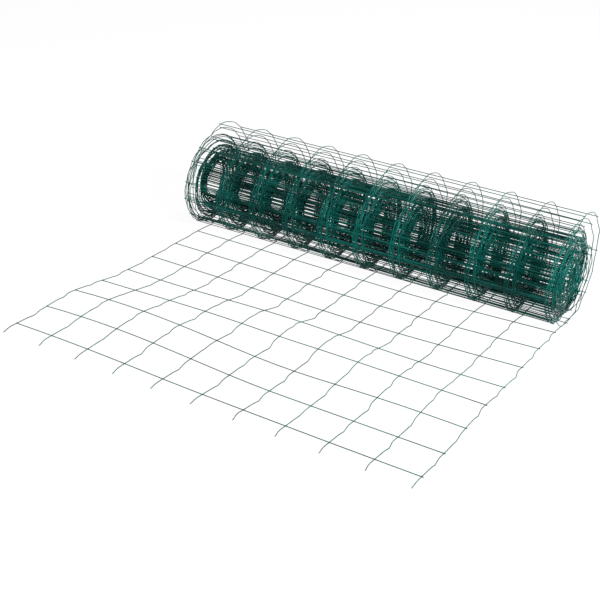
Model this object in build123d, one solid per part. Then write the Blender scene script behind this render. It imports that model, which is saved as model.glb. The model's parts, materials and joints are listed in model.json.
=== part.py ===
from build123d import *
import math
import os

# The mesh, millimetres. Its free end points to -Y, and the roll's axis runs along X.
wire = 2.0            # thickness of every wire, over its green coating
weld = 0.5            # depth to which two crossing wires are welded into each other
line_wires = 11       # wires that run the length of the mesh
line_pitch = 100.0    # from one line wire to the next
cross_pitch = 100.0   # from one cross wire to the next, along the mesh
overhang = 3.0        # cross wires past the outer line wires
stub = 48.0           # line wires past the last cross wire, at the free end
crimp = 4.5           # sideways step pressed into each line wire, once in every mesh
crimp_points = ((0.0, 0.0), (0.48, 1.0), (0.66, 0.0))   # share of the pitch, share of the crimp

# The unrolled stretch: its cross wires, and where the mesh springs up off the floor
sheet_crosses = 8
springs = (           # middle in X and Y from the mesh's left front corner, half widths in X and Y, height
    (130.0, 120.0, 520.0, 300.0, 21.0),
    (560.0, 330.0, 640.0, 190.0, 15.0),
    (1050.0, 560.0, 520.0, 200.0, 20.0),
)

# The wound coil
coil_radius = 101.0
bore_radius = 45.0
coil_slip = 28.0      # how far its inner turns have slipped along its axis, to -X
coil_turns = 8
turn_slot = 2.0       # gap seen between two turns on the coil's ends
slot_depth = 7.0
turn_sides = 10       # straight runs in each turn, between its bends at the cross wires

# The loose turns round the coil, measured to the middle of their line wires
turn_gap = 0.5        # between one turn and the next where they lie on each other, under the roll
crest_y = 808.0       # the turns' tops, from the first cross wire
axis_back = 20.0      # the coil's axis behind the turns' tops
rest_back = 20.0      # the turns leave the floor this far behind the coil's axis
rest_front = 30.0     # and meet it this far in front of the axis
back_slack = 4.0      # how much wider the space behind the coil is than the space below it
outer_top = 282.5     # the outermost turn's height, and its reach in front of its top
outer_front = 131.0
top_gap = 20.0        # the next turn's top lies so much lower, and it reaches so much less to the front
front_gap = 10.0
front_drop = 10.0     # a turn's foremost place below the middle of its height

mesh_width = line_pitch * (line_wires - 1)
cross_length = mesh_width + 2 * overhang
cross_drop = wire - weld
floor_z = wire / 2 + cross_drop
layer = wire + cross_drop + turn_gap
loose_turns = ((outer_top, outer_front), (outer_top - top_gap, outer_front - front_gap))
coil_z = floor_z + layer * len(loose_turns) + wire / 2 + turn_gap + coil_radius
outer_back = coil_z - floor_z + back_slack
reach = stub + crest_y + axis_back + outer_back + floor_z
tip_y = -reach / 2
first_cross_y = tip_y + stub
top_y = first_cross_y + crest_y
coil_y = top_y + axis_back
right_edge = max(overhang, crimp + wire / 2)
left_x = (coil_slip + overhang - right_edge - mesh_width) / 2
straight_middle = (1 + crimp_points[-1][0]) / 2
sheet_length = stub + cross_pitch * (sheet_crosses - 1 + straight_middle)


def quarter(start, end, leaves_level):
    """A quarter of an ellipse from start to end, level at one of them and upright at the other."""
    centre = (start[0], end[1]) if leaves_level else (end[0], start[1])
    across = abs(end[0] - start[0])
    high = abs(end[1] - start[1])
    angle = math.degrees(math.atan2(start[1] - centre[1], start[0] - centre[0]))
    return EllipticalCenterArc(centre, across, high, angle, arc_size=90)


def mesh_route():
    """The line that every line wire's middle follows, seen along the roll's axis: Y and Z."""
    with BuildLine(Plane.YZ) as route:
        low = floor_z
        heel = (coil_y + rest_back, low)
        Line((tip_y, low), heel)
        for top, in_front in loose_turns:
            back = (coil_y + coil_z - low + back_slack, coil_z)
            crest = (top_y, top)
            low += layer
            front = (top_y - in_front, (top + low) / 2 - front_drop)
            foot = (coil_y - rest_front, low)
            quarter(heel, back, True)
            quarter(back, crest, False)
            quarter(crest, front, True)
            quarter(front, foot, False)
            heel = (coil_y + rest_back, low)
            Line(foot, heel)
    return route.wire()


route = mesh_route()


def lift(x, y):
    """Height to which the unrolled mesh has sprung up off the floor at this place."""
    height = 0.0
    for middle_x, middle_y, half_x, half_y, top in springs:
        away = math.hypot((x - left_x - middle_x) / half_x, (y - first_cross_y - middle_y) / half_y)
        height += top * math.cos(math.pi / 2 * min(away, 1.0)) ** 2
    return height


def mesh_point(x, along, outwards=0.0):
    """A point of the mesh: x, distance along the route from the free end, and depth below the line wires."""
    place = route.position_at(along, position_mode=PositionMode.LENGTH)
    way = route.tangent_at(along, position_mode=PositionMode.LENGTH)
    raised = lift(x, place.Y) if along < sheet_length else 0.0
    return Vector(x, place.Y + way.Z * outwards, place.Z - way.Y * outwards + raised)


def bar(points, flat_side):
    """A square bar along straight runs, mitred where they meet; flat_side is level with two of its sides."""
    ways = [(b - a).normalized() for a, b in zip(points, points[1:])]
    across = Vector(flat_side)
    across = (across - ways[0] * across.dot(ways[0])).normalized() * (wire / 2)
    up = ways[0].cross(across)
    rings = [[points[0] + across * a + up * b for a, b in ((-1, -1), (1, -1), (1, 1), (-1, 1))]]
    for before, after, point in zip(ways, ways[1:] + ways[-1:], points[1:]):
        mitre = before + after
        rings.append([c + before * ((point - c).dot(mitre) / before.dot(mitre)) for c in rings[-1]])
    outlines = [rings[0][::-1], rings[-1]]
    for one, two in zip(rings, rings[1:]):
        outlines += [[one[k - 1], one[k], two[k], two[k - 1]] for k in range(4)]
    return Solid(Shell([Face(Wire.make_polygon(outline, close=True)) for outline in outlines]))


def line_wire(number, start, end):
    """One crimped line wire, from start to end along the route."""
    bends = {start: 0.0, end: 0.0}
    for pitch in range(math.floor((start - stub) / cross_pitch), math.ceil((end - stub) / cross_pitch)):
        for share, sideways in crimp_points:
            bends[stub + cross_pitch * (pitch + share)] = crimp * sideways
    last_foot = route.length - rest_back - rest_front
    if start < last_foot < end:
        bends[last_foot] = 0.0
    x = left_x + line_pitch * number
    places = sorted(along for along in bends if start <= along <= end)
    return bar([mesh_point(x + bends[along], along) for along in places], (1, 0, 0))


def cross_wire(number):
    """One cross wire, welded to the side of the line wires that faces the floor, or outwards on the roll."""
    along = stub + cross_pitch * number
    ends = [left_x - overhang] + [left_x + line_pitch * i for i in range(line_wires)] + [left_x + mesh_width + overhang]
    if along > sheet_length:
        ends = [ends[0], ends[-1]]
    way = route.tangent_at(along, position_mode=PositionMode.LENGTH)
    return bar([mesh_point(x, along, cross_drop) for x in ends], way)


def welded(lines, crosses):
    """Line wires and cross wires as one piece, joined at every crossing."""
    return lines[0].fuse(*lines[1:], *crosses)


def unrolled_sheet():
    """The stretch of mesh that lies on the floor, from its free end to the roll."""
    lines = [line_wire(i, 0.0, sheet_length) for i in range(line_wires)]
    crosses = [cross_wire(j) for j in range(sheet_crosses)]
    return welded(lines, crosses)


def loose_mesh():
    """The outer turns, which have sprung away from the coil."""
    lines = [line_wire(i, sheet_length, route.length) for i in range(line_wires)]
    last = int((route.length - stub) / cross_pitch)
    crosses = [cross_wire(j) for j in range(sheet_crosses, last + 1)]
    return welded(lines, crosses)


def spiral(inner, pitch):
    """Corners of a spiral of straight runs, from inner outwards, one pitch wider after every turn."""
    corners = []
    for k in range(turn_sides * (2 * coil_turns - 3) // 2 + 1):
        angle = 2 * math.pi * k / turn_sides
        radius = inner + pitch * k / turn_sides
        corners.append((radius * math.cos(angle), radius * math.sin(angle)))
    return corners


def turn_slots(depth):
    """The gap between the coil's turns, as deep as it shows on one end."""
    pitch = (coil_radius - bore_radius) / coil_turns
    inner = bore_radius + pitch - turn_slot
    outline = spiral(inner, pitch) + spiral(inner + turn_slot, pitch)[::-1]
    face = Plane.YZ * make_face(Polyline(*outline, close=True))
    return extrude(face, amount=depth, dir=(1, 0, 0))


def wound_coil():
    """The tight turns as one turned body with its bore, and the gap between its turns cut into both ends."""
    length = cross_length + coil_slip
    with BuildPart() as coil:
        with BuildSketch(Plane.XY):
            with Locations((length / 2, (bore_radius + coil_radius) / 2)):
                Rectangle(length, coil_radius - bore_radius)
        revolve(axis=Axis.X)
    slots = turn_slots(slot_depth)
    body = coil.part - slots - Pos(length - slot_depth, 0, 0) * slots
    return Pos(left_x - overhang - coil_slip, coil_y, coil_z) * body


os.makedirs("parts", exist_ok=True)
for name, make in (("wound_coil", wound_coil), ("loose_turns", loose_mesh), ("unrolled_sheet", unrolled_sheet)):
    export_step(make(), f"parts/{name}.step")
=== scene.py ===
"""Roll of green coated welded wire mesh, partly unrolled on the floor: its looks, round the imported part."""

import json
import math

import bpy
import numpy as np
from mathutils import Matrix, Vector

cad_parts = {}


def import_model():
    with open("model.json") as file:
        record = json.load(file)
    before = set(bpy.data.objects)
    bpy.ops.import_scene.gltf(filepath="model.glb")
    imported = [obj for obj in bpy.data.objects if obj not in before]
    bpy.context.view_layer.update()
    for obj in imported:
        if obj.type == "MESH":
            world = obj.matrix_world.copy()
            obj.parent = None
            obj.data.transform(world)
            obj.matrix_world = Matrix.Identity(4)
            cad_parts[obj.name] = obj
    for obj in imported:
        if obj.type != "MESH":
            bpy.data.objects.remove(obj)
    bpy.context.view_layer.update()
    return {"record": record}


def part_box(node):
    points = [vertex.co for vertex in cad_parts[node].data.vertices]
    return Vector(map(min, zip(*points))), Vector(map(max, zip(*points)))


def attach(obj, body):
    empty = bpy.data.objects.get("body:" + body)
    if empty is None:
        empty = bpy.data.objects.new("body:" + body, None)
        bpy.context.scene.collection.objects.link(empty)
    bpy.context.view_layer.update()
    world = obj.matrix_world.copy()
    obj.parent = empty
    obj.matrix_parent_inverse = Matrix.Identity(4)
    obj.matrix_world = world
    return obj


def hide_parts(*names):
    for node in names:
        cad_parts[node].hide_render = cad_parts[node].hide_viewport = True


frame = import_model()

# The mesh, in metres
WIRE = 0.0020            # thickness of a wire over its coating
CORE = 0.0016            # the steel inside it, bare at a cut end
WELD = 0.0005            # depth to which two crossing wires are welded into each other
BEAD = 0.00018           # how much thicker the coating lies where two wires are welded
BEAD_REACH = 0.0024      # how far that thicker place reaches along a cross wire, to either side
LINE_WIRES = 11
LINE_PITCH = 0.1
CROSS_WIRES = 251
CROSS_PITCH = 0.1
OVERHANG = 0.003         # cross wires past the outer line wires
STUB = 0.048             # line wires past the last cross wire
SPARE = 0.0002           # how far the wires, without their beads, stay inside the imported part's box
END_SPACE = 0.0015       # no other place of a line wire lies nearer than this to its end
FLOOR_SIDES = 8          # sides of a wire on the floor, where it shows best
ROLL_SIDES = 6           # sides of a wire on the roll

# The crimp in each mesh of a line wire: places as shares of the pitch, and millimetres sideways there
CRIMP_SHARES = (0.0, 0.024, 0.30, 0.40, 0.46, 0.50, 0.54, 0.60, 0.70, 0.80, 0.976)
CRIMP_STEPS = (0.0, 0.1, 1.0, 1.9, 3.0, 3.6, 2.9, 1.9, 0.0, -0.9, -0.1)
CRIMP_MOST = 0.0047      # the furthest that a crimp goes sideways, metres
CRIMP_WAVES = (          # how crimps grow and shrink: size, radians from wire to wire, radians a metre
    (0.35, 2.3, 7.0),
    (0.25, 1.1, 31.0),
)

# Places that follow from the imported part
sheet_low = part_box("unrolled_sheet")[0]
coil_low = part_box("wound_coil")[0]
bore = frame["record"]["mounts"][0]
AXIS_Y = bore["pos_m"][1]
AXIS_Z = bore["pos_m"][2]
LEFT_X = sheet_low.x + OVERHANG
TIP_Y = sheet_low.y + SPARE
FLOOR_Z = WIRE / 2 + WIRE - WELD + SPARE
WIDTH = LINE_PITCH * (LINE_WIRES - 1)
LENGTH = 2 * STUB + CROSS_PITCH * (CROSS_WIRES - 1)
SLIP = sheet_low.x - coil_low.x

# Where the unrolled mesh springs up off the floor: middle in X and Y from its left front crossing, half
# widths in X and Y, and height
SPRINGS = (
    (0.165, 0.170, 0.50, 0.23, 0.025),
    (0.490, 0.345, 0.47, 0.12, 0.018),
    (0.885, 0.270, 0.47, 0.17, 0.014),
    (1.300, 0.635, 0.81, 0.50, 0.027),
    (0.255, 0.740, 1.20, 0.32, 0.007),
    (-0.20, -0.020, 1.20, 0.12, 0.010),
)

# The turns of the roll, from the outermost inwards: turn number, reach below the coil's axis, behind it,
# above it and in front of it, how far its top and its lowest point lie in front of the axis, how far it has
# slipped to -X, and how unevenly it is wound
TURN, BELOW, BEHIND, ABOVE, IN_FRONT, TOP_FORWARD, LOW_FORWARD, SLIPPED, UNEVEN = range(9)
TURNS = (
    (0, 0.1105, 0.1060, 0.1680, 0.152, 0.020, 0.010, 0.000, 0.0000),
    (1, 0.1085, 0.1035, 0.1485, 0.151, 0.020, 0.025, 0.007, 0.0004),
    (2, 0.1070, 0.1015, 0.1290, 0.155, 0.018, 0.030, 0.027, 0.0012),
    (3, 0.1055, 0.1005, 0.1240, 0.152, 0.016, 0.030, 0.028, 0.0030),
    (5, 0.1025, 0.0990, 0.1120, 0.142, 0.014, 0.030, 0.028, 0.0040),
    (7, 0.0995, 0.0975, 0.1020, 0.126, 0.010, 0.028, 0.028, 0.0040),
    (8, 0.0980, 0.0960, 0.0960, 0.109, 0.004, 0.025, 0.030, 0.0020),
    (12, 0.0935, 0.0930, 0.0905, 0.103, 0.000, 0.018, 0.030, 0.0015),
    (16, 0.0880, 0.0885, 0.0860, 0.098, 0.000, 0.010, 0.028, 0.0022),
    (19, 0.0840, 0.0840, 0.0820, 0.093, 0.000, 0.000, 0.006, 0.0022),
    (22, 0.0800, 0.0780, 0.0780, 0.089, 0.000, 0.000, 0.028, 0.0024),
    (24, 0.0770, 0.0730, 0.0750, 0.087, 0.000, 0.000, 0.029, 0.0024),
    (32, 0.0670, 0.0530, 0.0660, 0.078, 0.000, 0.000, 0.029, 0.0026),
    (44, 0.0530, 0.0250, 0.0540, 0.066, 0.000, 0.000, 0.024, 0.0026),
    (52, 0.0450, 0.0050, 0.0470, 0.059, 0.000, 0.000, 0.028, 0.0020),
    (58, 0.0400, 0.0000, 0.0430, 0.055, 0.000, 0.000, 0.027, 0.0020),
)
LAST_TURN = TURNS[-1][TURN]
LOW_UNEVEN = 0.4         # how uneven a turn is below, where it bears the others, as a share of the table's
REAR_HEIGHT = 0.6        # height of its rearmost place, as a share of its reach above less that below
FRONT_HEIGHT = 0.4       # height of its foremost place, as a share of the same
TIGHTER = 0.45           # share by which turns are smaller at the roll's right end, by the last turn
TIGHTER_FROM = 24        # the turn from which this grows
TAKE_UP = 0.045          # how far the crimps give where the mesh turns up behind the roll
TAKE_UP_REACH = 0.4      # the length over which they give
SLIP_GROWS = 20          # quarter turns over which the unevenness of the slip grows
SKEW_GROWS = 8           # quarter turns over which the cross wires' skew grows
LOOSE_TURNS = 7.75       # turns that have sprung away from the coil
SHEET_MESHES = 7.83      # meshes in the unrolled stretch, up to a straight part of its line wires
PROFILE_STEPS = 12000    # places at which the length of the roll's profile is measured
NORMAL_STEP = 0.0005     # distance before and behind a place from which its normal is taken

rng = np.random.default_rng(20)


def turn_values(numbers, column):
    """One column of the table of turns at any turn numbers, straight from each row to the next."""
    table = np.array(TURNS)
    return np.interp(numbers, table[:, TURN], table[:, column])


def extreme_points():
    """Lowest, rearmost, highest and foremost points of all turns in their order, as Y and Z at both ends.

    Each point is a quarter of a turn after the one before. It is the axis moved by the reach that the table
    gives for its side, plus a seeded random part that differs between the roll's two ends.
    """
    quarters = np.arange(4 * LAST_TURN)
    turn = quarters // 4
    side = quarters % 4
    lowest, rear, top, foremost = (side == k for k in range(4))
    reach = np.choose(side, [turn_values(turn, column) for column in (BELOW, BEHIND, ABOVE, IN_FRONT)])
    uneven = turn_values(turn, UNEVEN) * np.where(lowest, LOW_UNEVEN, 1.0)
    reach = reach[:, None] + uneven[:, None] * rng.standard_normal((len(quarters), 2))
    reach[:, 1] *= 1 - TIGHTER * np.clip((turn - TIGHTER_FROM) / (LAST_TURN - TIGHTER_FROM), 0, 1)
    top_forward = np.where(top, turn_values(turn, TOP_FORWARD), 0.0)
    forward = top_forward + np.where(lowest, turn_values(turn, LOW_FORWARD), 0.0)
    upper_reach = turn_values(turn, ABOVE) - turn_values(turn, BELOW)
    middle_z = upper_reach * np.where(rear, REAR_HEIGHT, FRONT_HEIGHT)
    y = AXIS_Y - forward[:, None] + (rear * 1.0 - foremost)[:, None] * reach
    z = AXIS_Z + ((rear | foremost) * middle_z)[:, None] + (top * 1.0 - lowest)[:, None] * reach
    z[0] = FLOOR_Z
    return y, z


POINT_Y, POINT_Z = extreme_points()


def roll_profile(x, quarters):
    """Y and Z on the roll at x, after a number of quarter turns.

    Between two extreme points the profile is a quarter of an ellipse, level at the lowest and highest ones
    and upright at the others: sine of the angle since the last point along one axis, cosine along the
    other. The points themselves run straight from the roll's left end to its right end.
    """
    start = np.clip(np.floor(quarters).astype(int), 0, len(POINT_Y) - 2)
    angle = (quarters - start) * math.pi / 2
    right = np.clip((x - LEFT_X) / WIDTH, 0, 1)
    y0, y1 = (POINT_Y[k, 0] * (1 - right) + POINT_Y[k, 1] * right for k in (start, start + 1))
    z0, z1 = (POINT_Z[k, 0] * (1 - right) + POINT_Z[k, 1] * right for k in (start, start + 1))
    level = start % 2 == 0
    y = np.where(level, y0 + (y1 - y0) * np.sin(angle), y1 + (y0 - y1) * np.cos(angle))
    z = np.where(level, z1 + (z0 - z1) * np.cos(angle), z0 + (z1 - z0) * np.sin(angle))
    return y, z


# The unrolled stretch ends at the roll's first point; past it, distance along the mesh follows the profile
FLAT = POINT_Y[0, 0] - TIP_Y
QUARTERS = np.linspace(0, len(POINT_Y) - 1, PROFILE_STEPS)
mean_y, mean_z = roll_profile(LEFT_X + WIDTH / 2, QUARTERS)
round_roll = np.concatenate(([0.0], np.cumsum(np.hypot(np.diff(mean_y), np.diff(mean_z)))))
ALONG = FLAT + round_roll - TAKE_UP * np.minimum(round_roll / TAKE_UP_REACH, 1.0)


def wander(step, size, seed):
    """A smooth random line over quarter turns: seeded values at even steps, joined by half cosine waves."""
    places = np.arange(0, len(POINT_Y) + 2 * step, step)
    values = np.random.default_rng(seed).standard_normal(len(places)) * size

    def line(quarters):
        k = np.clip((quarters / step).astype(int), 0, len(places) - 2)
        t = quarters / step - k
        blend = (1 - np.cos(math.pi * t)) / 2
        return values[k] * (1 - blend) + values[k + 1] * blend

    return line


SLIP_WANDER = wander(step=3.0, size=0.0050, seed=5)
SKEW = wander(step=7.0, size=0.008, seed=6)


def lift(x, y):
    """Height of the unrolled mesh above its rest on the floor.

    It is a sum of bumps, each a squared cosine that falls to nothing at the edge of its ellipse.
    """
    height = np.zeros(np.broadcast(x, y).shape)
    for middle_x, middle_y, half_x, half_y, top in SPRINGS:
        away = np.hypot((x - LEFT_X - middle_x) / half_x, (y - TIP_Y - STUB - middle_y) / half_y)
        height += top * np.cos(math.pi / 2 * np.minimum(away, 1.0)) ** 2
    return height


def middle(x, along):
    """Y and Z of the mesh's middle surface at x and a distance along it from the free end.

    Up to the roll it lies on the floor with its springs added. Past that the distance, skewed a little from
    one end of the roll to the other, gives the number of quarter turns, and the springs fade out over the
    first of them.
    """
    flat_y = TIP_Y + np.minimum(along, FLAT)
    quarters = np.interp(along, ALONG, QUARTERS)
    from_middle = x - LEFT_X - WIDTH / 2
    skewed = along + SKEW(quarters) * from_middle / WIDTH * np.clip(quarters / SKEW_GROWS, 0, 1)
    quarters = np.interp(skewed, ALONG, QUARTERS)
    roll_y, roll_z = roll_profile(x, quarters)
    on_floor = along < FLAT
    fade = np.cos(math.pi / 2 * np.clip(quarters, 0, 1)) ** 2
    y = np.where(on_floor, flat_y, roll_y)
    z = np.where(on_floor, FLOOR_Z, roll_z) + lift(x, flat_y) * np.where(on_floor, 1.0, fade)
    return y, z


def slip(along):
    """How far the mesh has slipped to -X at a distance along it.

    It is the value from the table plus a random wander, never past the coil's end.
    """
    quarters = np.interp(along, ALONG, QUARTERS)
    uneven = SLIP_WANDER(quarters) * np.clip(quarters / SLIP_GROWS, 0, 1)
    return np.clip(turn_values(quarters / 4, SLIPPED) + uneven, 0.0, SLIP - SPARE)


def mesh_points(x, along, outwards=0.0):
    """Places of the mesh as an array of X, Y, Z: its middle surface, moved outwards along its normal.

    The normal comes from the middle surface a small step before and behind: its direction turned by a right
    angle, which points to the floor on the flat stretch and away from the axis on the roll.
    """
    y, z = middle(x, along)
    y0, z0 = middle(x, along - NORMAL_STEP)
    y1, z1 = middle(x, along + NORMAL_STEP)
    run = np.hypot(y1 - y0, z1 - z0)
    y = y + outwards * (z1 - z0) / run
    z = z - outwards * (y1 - y0) / run
    return np.stack([x - slip(along), y, z], axis=-1)


def tubes(name, paths, bead, side, sides, materials):
    """Round wires along paths, as one closed mesh.

    The bead is how much thicker the coating is at each point of a path. Every ring is the path's point plus
    the wire's radius times the cosine of an angle across and its sine up. Across is the given side made
    square to the path's direction, and up is the direction crossed with it. A ring of the steel core's size
    and one flat face close each end.
    """
    length = paths.shape[1]
    way = np.gradient(paths, axis=1)
    way /= np.linalg.norm(way, axis=2, keepdims=True)
    across = side - way * (way @ side)[..., None]
    across /= np.linalg.norm(across, axis=2, keepdims=True)
    up = np.cross(way, across)
    rows = np.concatenate(([0], np.arange(length), [length - 1]))
    radius = np.concatenate(([CORE / 2], WIRE / 2 + bead, [CORE / 2]))
    angle = 2 * math.pi * np.arange(sides) / sides
    spoke = across[:, rows, None] * np.cos(angle)[:, None] + up[:, rows, None] * np.sin(angle)[:, None]
    points = paths[:, rows, None] + spoke * radius[:, None, None]
    return grid_mesh(name, points, materials)


def grid_mesh(name, points, materials):
    """A piece made of closed tubes, from an array of points: tube, ring, place on the ring, X Y Z.

    Each face joins two neighbouring places on two neighbouring rings, and one face with many corners closes
    each end. The UV map holds the distance along the tube in metres and the share of the way round it. The
    first material goes on the walls and the second on the ends. The walls are shaded smooth, apart from the
    first and the last, which narrow to the core.
    """
    count, rings, sides = points.shape[:3]
    index = np.arange(count * rings * sides).reshape(count, rings, sides)
    beside = np.roll(index, -1, axis=2)
    walls = np.stack([index[:, :-1], beside[:, :-1], beside[:, 1:], index[:, 1:]], axis=-1).reshape(-1, 4)
    ends = np.concatenate([index[:, 0, ::-1], index[:, -1]])
    corners = np.concatenate([walls.ravel(), ends.ravel()])
    starts = np.concatenate([np.arange(len(walls)) * 4, len(walls) * 4 + np.arange(len(ends)) * sides])
    mesh = bpy.data.meshes.new(name)
    mesh.vertices.add(points.size // 3)
    mesh.vertices.foreach_set("co", points.astype(np.float32).ravel())
    mesh.loops.add(len(corners))
    mesh.loops.foreach_set("vertex_index", corners.astype(np.int32))
    mesh.polygons.add(len(starts))
    mesh.polygons.foreach_set("loop_start", starts.astype(np.int32))
    smooth = np.zeros((count, rings - 1, sides), bool)
    smooth[:, 1:-1] = True
    mesh.polygons.foreach_set("use_smooth", np.concatenate([smooth.ravel(), np.zeros(len(ends), bool)]))
    finish = np.concatenate([np.zeros(len(walls), np.int32), np.ones(len(ends), np.int32)])
    mesh.polygons.foreach_set("material_index", finish)
    middle_line = points.mean(axis=2)
    distance = np.cumsum(np.linalg.norm(np.diff(middle_line, axis=1), axis=2), axis=1)
    distance = np.concatenate([np.zeros((count, 1)), distance], axis=1)
    u = np.broadcast_to(distance[:, :, None], (count, rings, sides))
    low, high = u[:, :-1], u[:, 1:]
    around = np.arange(sides) / sides
    v = np.broadcast_to(around, low.shape)
    corner_uv = [low, v, low, v + 1 / sides, high, v + 1 / sides, high, v]
    wall_uv = np.stack(corner_uv, axis=-1).reshape(-1, 2)
    every_uv = np.concatenate([wall_uv, np.zeros((len(ends) * sides, 2))]).astype(np.float32)
    mesh.uv_layers.new(name="wire")
    mesh.uv_layers["wire"].data.foreach_set("uv", every_uv.ravel())
    mesh.update(calc_edges=True)
    mesh.validate()
    piece = bpy.data.objects.new(name, mesh)
    bpy.context.scene.collection.objects.link(piece)
    for material in materials:
        mesh.materials.append(material)
    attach(piece, "root")
    return piece


def line_wire_places(start, end):
    """Places along a line wire from start to end: distances, sideways steps of its crimps, and beads."""
    cells = np.arange(-1, CROSS_WIRES)
    along = (STUB + CROSS_PITCH * (cells[:, None] + np.array(CRIMP_SHARES))).ravel()
    steps = np.tile(np.array(CRIMP_STEPS) / 1000, len(cells))
    beads = np.tile(np.array(CRIMP_SHARES) == 0, len(cells)) * BEAD
    inside = (along > start + END_SPACE) & (along < end - END_SPACE)
    edges = np.interp([start, end], along[inside], steps[inside])
    along = np.concatenate(([start], along[inside], [end]))
    steps = np.concatenate(([edges[0]], steps[inside], [edges[1]]))
    return along, steps, np.concatenate(([0.0], beads[inside], [0.0]))


def line_wires(name, numbers, start, end, sides, materials):
    """Crimped line wires of one stretch of the mesh, each at its own x."""
    along, steps, beads = line_wire_places(start, end)
    number = np.asarray(numbers)[:, None]
    strength = 1.0
    for size, shift, rate in CRIMP_WAVES:
        strength = strength + size * np.sin(number * shift + along * rate)
    x = LEFT_X + LINE_PITCH * number + np.zeros(len(along))
    paths = mesh_points(x, np.broadcast_to(along, x.shape))
    paths[..., 0] += np.clip(steps * strength, -CRIMP_MOST, CRIMP_MOST)
    return tubes(name, paths, beads, np.array([1.0, 0.0, 0.0]), sides, materials)


def cross_wires(name, numbers, sides, materials):
    """Cross wires, each across the whole mesh on the outer side of its line wires."""
    along = STUB + CROSS_PITCH * np.asarray(numbers)
    crossings = LEFT_X + LINE_PITCH * np.arange(LINE_WIRES)
    x = (crossings[:, None] + np.array([-BEAD_REACH, 0.0, BEAD_REACH, LINE_PITCH / 2])).ravel()[:-1]
    beads = np.tile([0.0, BEAD, 0.0, 0.0], LINE_WIRES)[:-1]
    x = np.concatenate(([LEFT_X - OVERHANG], x, [LEFT_X + WIDTH + OVERHANG]))
    beads = np.concatenate(([0.0], beads, [0.0]))
    x, along = np.broadcast_arrays(x, along[:, None])
    paths = mesh_points(x, along, WIRE - WELD)
    return tubes(name, paths, beads, np.array([0.0, 0.0, 1.0]), sides, materials)


def socket_group(name, inputs, outputs):
    """An empty shader node group with its sockets, and its two end nodes."""
    group = bpy.data.node_groups.new(name, "ShaderNodeTree")
    for label, kind in inputs:
        group.interface.new_socket(label, in_out="INPUT", socket_type=kind)
    for label, kind in outputs:
        group.interface.new_socket(label, in_out="OUTPUT", socket_type=kind)
    return group, group.nodes.new("NodeGroupInput"), group.nodes.new("NodeGroupOutput")


def noise_range(group, place, scale, detail, between, onto=(0.0, 1.0)):
    """Noise of one scale at a place, with the part between two values spread over a new range."""
    noise = group.nodes.new("ShaderNodeTexNoise")
    noise.inputs["Scale"].default_value = scale
    noise.inputs["Detail"].default_value = detail
    spread = group.nodes.new("ShaderNodeMapRange")
    for label, value in zip(("From Min", "From Max", "To Min", "To Max"), between + onto):
        spread.inputs[label].default_value = value
    group.links.new(place, noise.inputs["Vector"])
    group.links.new(noise.outputs["Fac"], spread.inputs["Value"])
    return spread.outputs["Result"]


def mixed(tree, share, one, two):
    """Two colours, each a socket or red, green and blue, mixed by a share of the second."""
    mix = tree.nodes.new("ShaderNodeMix")
    mix.data_type = "RGBA"
    tree.links.new(share, mix.inputs["Factor"])
    for value, socket in ((one, mix.inputs["A"]), (two, mix.inputs["B"])):
        if isinstance(value, tuple):
            socket.default_value = (*value, 1.0)
        else:
            tree.links.new(value, socket)
    return mix.outputs["Result"]


def calculated(tree, operation, *values):
    """The result of one sum on two or three values, each a socket or a number."""
    node = tree.nodes.new("ShaderNodeMath")
    node.operation = operation
    for value, socket in zip(values, node.inputs):
        if isinstance(value, (int, float)):
            socket.default_value = value
        else:
            tree.links.new(value, socket)
    return node.outputs[0]


def wear_group():
    """Shared marks of handling: a mask of dust settled on upper sides, a mask of scuffs, and fine grain."""
    inputs = (("Place", "NodeSocketVector"), ("Normal", "NodeSocketVector"))
    outputs = (("Dust", "NodeSocketFloat"), ("Scuffs", "NodeSocketFloat"), ("Grain", "NodeSocketFloat"))
    group, start, end = socket_group("handling_marks", inputs, outputs)
    upright = group.nodes.new("ShaderNodeSeparateXYZ")
    group.links.new(start.outputs["Normal"], upright.inputs[0])
    place = start.outputs["Place"]
    settled = calculated(group, "MAXIMUM", upright.outputs["Z"], 0.0)
    patches = noise_range(group, place, scale=55.0, detail=4.0, between=(0.42, 0.72))
    scuffs = noise_range(group, place, scale=210.0, detail=5.0, between=(0.60, 0.70))
    grain = noise_range(group, place, scale=1500.0, detail=3.0, between=(0.3, 0.7))
    group.links.new(calculated(group, "MULTIPLY", settled, patches), end.inputs["Dust"])
    group.links.new(scuffs, end.inputs["Scuffs"])
    group.links.new(grain, end.inputs["Grain"])
    return group


def tone_group():
    """The coating's colour: a deep and a full green that change slowly over the mesh, mottled finely."""
    inputs = (("Place", "NodeSocketVector"), ("Deep", "NodeSocketColor"), ("Full", "NodeSocketColor"))
    group, start, end = socket_group("coating_tone", inputs, (("Color", "NodeSocketColor"),))
    place = start.outputs["Place"]
    slow = noise_range(group, place, scale=7.0, detail=2.0, between=(0.35, 0.65), onto=(0.15, 1.0))
    fine = noise_range(group, place, scale=420.0, detail=4.0, between=(0.35, 0.65), onto=(0.7, 1.0))
    share = calculated(group, "MULTIPLY", slow, fine)
    group.links.new(mixed(group, share, start.outputs["Deep"], start.outputs["Full"]), end.inputs["Color"])
    return group


WEAR = wear_group()
TONE = tone_group()


def object_place(tree):
    """The place on the piece, in metres, as a socket."""
    return tree.nodes.new("ShaderNodeTexCoord").outputs["Object"]


def started_material(name):
    """A material with the shared marks, ready for its own colours."""
    material = bpy.data.materials.new(name)
    material.use_nodes = True
    tree = material.node_tree
    marks = tree.nodes.new("ShaderNodeGroup")
    marks.node_tree = WEAR
    tree.links.new(object_place(tree), marks.inputs["Place"])
    tree.links.new(tree.nodes.new("ShaderNodeNewGeometry").outputs["Normal"], marks.inputs["Normal"])
    return material, tree, marks, tree.nodes["Principled BSDF"]


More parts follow.
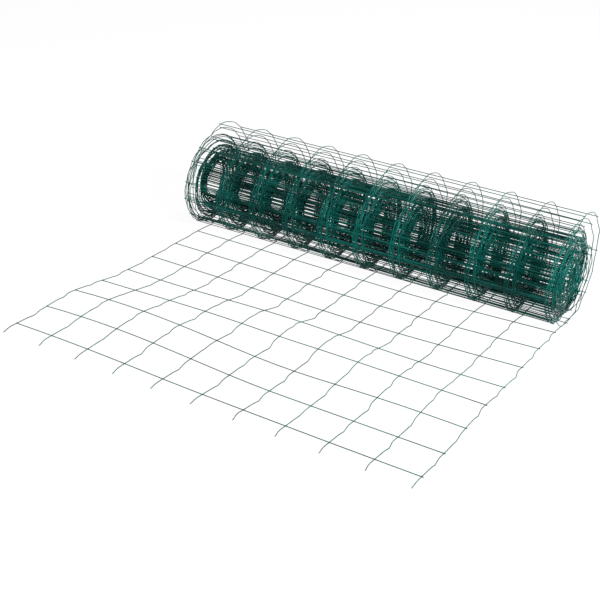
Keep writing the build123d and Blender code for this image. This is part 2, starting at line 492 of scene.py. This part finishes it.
def grain_bump(tree, marks, shader, strength, distance):
    """The fine grain as a bump on the shader."""
    bump = tree.nodes.new("ShaderNodeBump")
    bump.inputs["Strength"].default_value = strength
    bump.inputs["Distance"].default_value = distance
    tree.links.new(marks.outputs["Grain"], bump.inputs["Height"])
    tree.links.new(bump.outputs["Normal"], shader.inputs["Normal"])


def coating_material():
    """Green plastic coating: satin, mottled, scuffed where wires rub, and a little dusty on top."""
    deep_green = (0.0, 0.020, 0.017)
    full_green = (0.0, 0.092, 0.074)
    scuffed_green = (0.02, 0.26, 0.20)
    dust_grey = (0.30, 0.34, 0.32)
    scuff_share = 0.35
    dust_share = 0.05
    satin = 0.24
    scuff_roughness = 0.18
    dust_roughness = 0.15
    material, tree, marks, shader = started_material("green_coating")
    tone = tree.nodes.new("ShaderNodeGroup")
    tone.node_tree = TONE
    tone.inputs["Deep"].default_value = (*deep_green, 1.0)
    tone.inputs["Full"].default_value = (*full_green, 1.0)
    tree.links.new(object_place(tree), tone.inputs["Place"])
    scuffed = calculated(tree, "MULTIPLY", marks.outputs["Scuffs"], scuff_share)
    colour = mixed(tree, scuffed, tone.outputs["Color"], scuffed_green)
    dusty = calculated(tree, "MULTIPLY", marks.outputs["Dust"], dust_share)
    tree.links.new(mixed(tree, dusty, colour, dust_grey), shader.inputs["Base Color"])
    roughness = calculated(tree, "MULTIPLY_ADD", marks.outputs["Scuffs"], scuff_roughness, satin)
    rougher = calculated(tree, "MULTIPLY_ADD", marks.outputs["Dust"], dust_roughness, roughness)
    tree.links.new(rougher, shader.inputs["Roughness"])
    shader.inputs["Specular IOR Level"].default_value = 0.20
    shader.inputs["Specular Tint"].default_value = (0.25, 1.0, 0.93, 1.0)
    grain_bump(tree, marks, shader, strength=0.25, distance=0.0001)
    return material


def steel_material():
    """The cut steel of a wire's end: dull metal with a bloom of first rust."""
    dark_steel = (0.34, 0.34, 0.35)
    light_steel = (0.55, 0.55, 0.56)
    rust_brown = (0.16, 0.07, 0.035)
    rust_share = 0.5
    dull = 0.38
    rust_roughness = 0.35
    material, tree, marks, shader = started_material("bare_steel")
    colour = mixed(tree, marks.outputs["Grain"], dark_steel, light_steel)
    rusty = calculated(tree, "MULTIPLY", marks.outputs["Scuffs"], rust_share)
    tree.links.new(mixed(tree, rusty, colour, rust_brown), shader.inputs["Base Color"])
    roughness = calculated(tree, "MULTIPLY_ADD", marks.outputs["Scuffs"], rust_roughness, dull)
    tree.links.new(roughness, shader.inputs["Roughness"])
    shader.inputs["Metallic"].default_value = 0.9
    grain_bump(tree, marks, shader, strength=0.35, distance=0.00008)
    return material


FINISHES = (coating_material(), steel_material())

# The pieces: the mesh in three stretches
SHEET_END = STUB + CROSS_PITCH * SHEET_MESHES
LOOSE_END = float(np.interp(4 * LOOSE_TURNS, QUARTERS, ALONG))
all_lines = np.arange(LINE_WIRES)
sheet_crosses = np.arange(int((SHEET_END - STUB) / CROSS_PITCH) + 1)
loose_crosses = np.arange(len(sheet_crosses), int((LOOSE_END - STUB) / CROSS_PITCH) + 1)
coil_crosses = np.arange(loose_crosses[-1] + 1, CROSS_WIRES)

lines = line_wires("sheet_line_wires", all_lines, 0.0, SHEET_END, FLOOR_SIDES, FINISHES)
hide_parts("unrolled_sheet")
crosses = cross_wires("sheet_cross_wires", sheet_crosses, FLOOR_SIDES, FINISHES)
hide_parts("unrolled_sheet")
lines = line_wires("loose_line_wires", all_lines, SHEET_END, LOOSE_END, ROLL_SIDES, FINISHES)
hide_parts("loose_turns")
crosses = cross_wires("loose_cross_wires", loose_crosses, ROLL_SIDES, FINISHES)
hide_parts("loose_turns")
for number in range(LINE_WIRES):
    wire = line_wires(f"coil_line_wire_{number:02d}", [number], LOOSE_END, LENGTH, ROLL_SIDES, FINISHES)
    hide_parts("wound_coil")
crosses = cross_wires("coil_cross_wires", coil_crosses, ROLL_SIDES, FINISHES)
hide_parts("wound_coil")


def seen_rays(tree):
    """One on rays that show a place to the camera, straight, reflected or through something clear."""
    path = tree.nodes.new("ShaderNodeLightPath")
    shown = calculated(tree, "MAXIMUM", path.outputs["Is Camera Ray"], path.outputs["Is Glossy Ray"])
    return calculated(tree, "MAXIMUM", shown, path.outputs["Is Transmission Ray"])


def floor_material():
    """Pale where it lights the roll, nearly white where it is seen, so that only a faint shadow shows."""
    floor_grey = (0.8, 0.8, 0.8, 1.0)
    matt = 0.9
    glow_strength = 1.06
    glow_share = 0.90
    material = bpy.data.materials.new("pale_floor")
    material.use_nodes = True
    tree = material.node_tree
    shader = tree.nodes["Principled BSDF"]
    shader.inputs["Base Color"].default_value = floor_grey
    shader.inputs["Roughness"].default_value = matt
    glow = tree.nodes.new("ShaderNodeEmission")
    glow.inputs["Strength"].default_value = glow_strength
    faint = tree.nodes.new("ShaderNodeMixShader")
    faint.inputs["Fac"].default_value = glow_share
    tree.links.new(shader.outputs[0], faint.inputs[1])
    tree.links.new(glow.outputs[0], faint.inputs[2])
    seen = tree.nodes.new("ShaderNodeMixShader")
    tree.links.new(seen_rays(tree), seen.inputs[0])
    tree.links.new(shader.outputs[0], seen.inputs[1])
    tree.links.new(faint.outputs[0], seen.inputs[2])
    tree.links.new(seen.outputs[0], tree.nodes["Material Output"].inputs[0])
    return material


def floor():
    """A large level floor, a little below the wires that rest on it."""
    reach = 12.0
    level = -0.0004
    corners = ((-reach, -reach), (reach, -reach), (reach, reach), (-reach, reach))
    mesh = bpy.data.meshes.new("floor")
    mesh.from_pydata([(x, y, level) for x, y in corners], [], [(0, 1, 2, 3)])
    mesh.materials.append(floor_material())
    piece = bpy.data.objects.new("floor", mesh)
    bpy.context.scene.collection.objects.link(piece)


def soft_light(name, place, target, size, watts):
    """A square lamp that faces a target."""
    lamp = bpy.data.lights.new(name, "AREA")
    lamp.shape = "SQUARE"
    lamp.size = size
    lamp.energy = watts
    holder = bpy.data.objects.new(name, lamp)
    holder.location = place
    holder.rotation_euler = (Vector(target) - Vector(place)).to_track_quat("-Z", "Y").to_euler()
    bpy.context.scene.collection.objects.link(holder)


def camera():
    """The photograph's viewpoint.

    Azimuth and elevation are those of the line to the camera from the place in the middle of the picture.
    """
    azimuth, elevation, roll = (math.radians(angle) for angle in (28.991, 25.566, 4.070))
    distance = 3.0209
    focal_length = 75.935
    film_width = 36.0
    picture_middle = Vector((LEFT_X + 0.4319, TIP_Y + STUB + 0.5041, 0.008))
    back = Vector((
        math.sin(azimuth) * math.cos(elevation),
        -math.cos(azimuth) * math.cos(elevation),
        math.sin(elevation),
    ))
    right = Vector((math.cos(azimuth), math.sin(azimuth), 0.0))
    up = back.cross(right)
    rolled_right = right * math.cos(roll) + up * math.sin(roll)
    rolled_up = up * math.cos(roll) - right * math.sin(roll)
    lens = bpy.data.cameras.new("camera")
    lens.sensor_width = film_width
    lens.lens = focal_length
    lens.clip_start = 0.1
    lens.clip_end = 60.0
    holder = bpy.data.objects.new("camera", lens)
    turn = Matrix((rolled_right, rolled_up, back)).transposed()
    holder.matrix_world = Matrix.Translation(picture_middle + back * distance) @ turn.to_4x4()
    bpy.context.scene.collection.objects.link(holder)
    bpy.context.scene.camera = holder


def world():
    """Plain white surroundings: full white where they are seen, much softer as light."""
    light_strength = 0.02
    seen_strength = 1.0
    surroundings = bpy.data.worlds.new("studio")
    bpy.context.scene.world = surroundings
    surroundings.use_nodes = True
    tree = surroundings.node_tree
    strength = tree.nodes.new("ShaderNodeMapRange")
    strength.inputs["To Min"].default_value = light_strength
    strength.inputs["To Max"].default_value = seen_strength
    background = tree.nodes["Background"]
    background.inputs["Color"].default_value = (1.0, 1.0, 1.0, 1.0)
    tree.links.new(seen_rays(tree), strength.inputs["Value"])
    tree.links.new(strength.outputs[0], background.inputs["Strength"])


floor()
camera()
world()
soft_light("key", place=(2.85, -1.3, 2.1), target=(0.0, 0.2, 0.1), size=0.5, watts=245.0)
soft_light("fill", place=(-2.4, -1.6, 1.6), target=(0.0, 0.2, 0.1), size=1.6, watts=20.0)
soft_light("back", place=(1.4, 2.8, 1.8), target=(0.0, 0.3, 0.1), size=1.6, watts=75.0)
bpy.context.scene.view_settings.view_transform = "Standard"
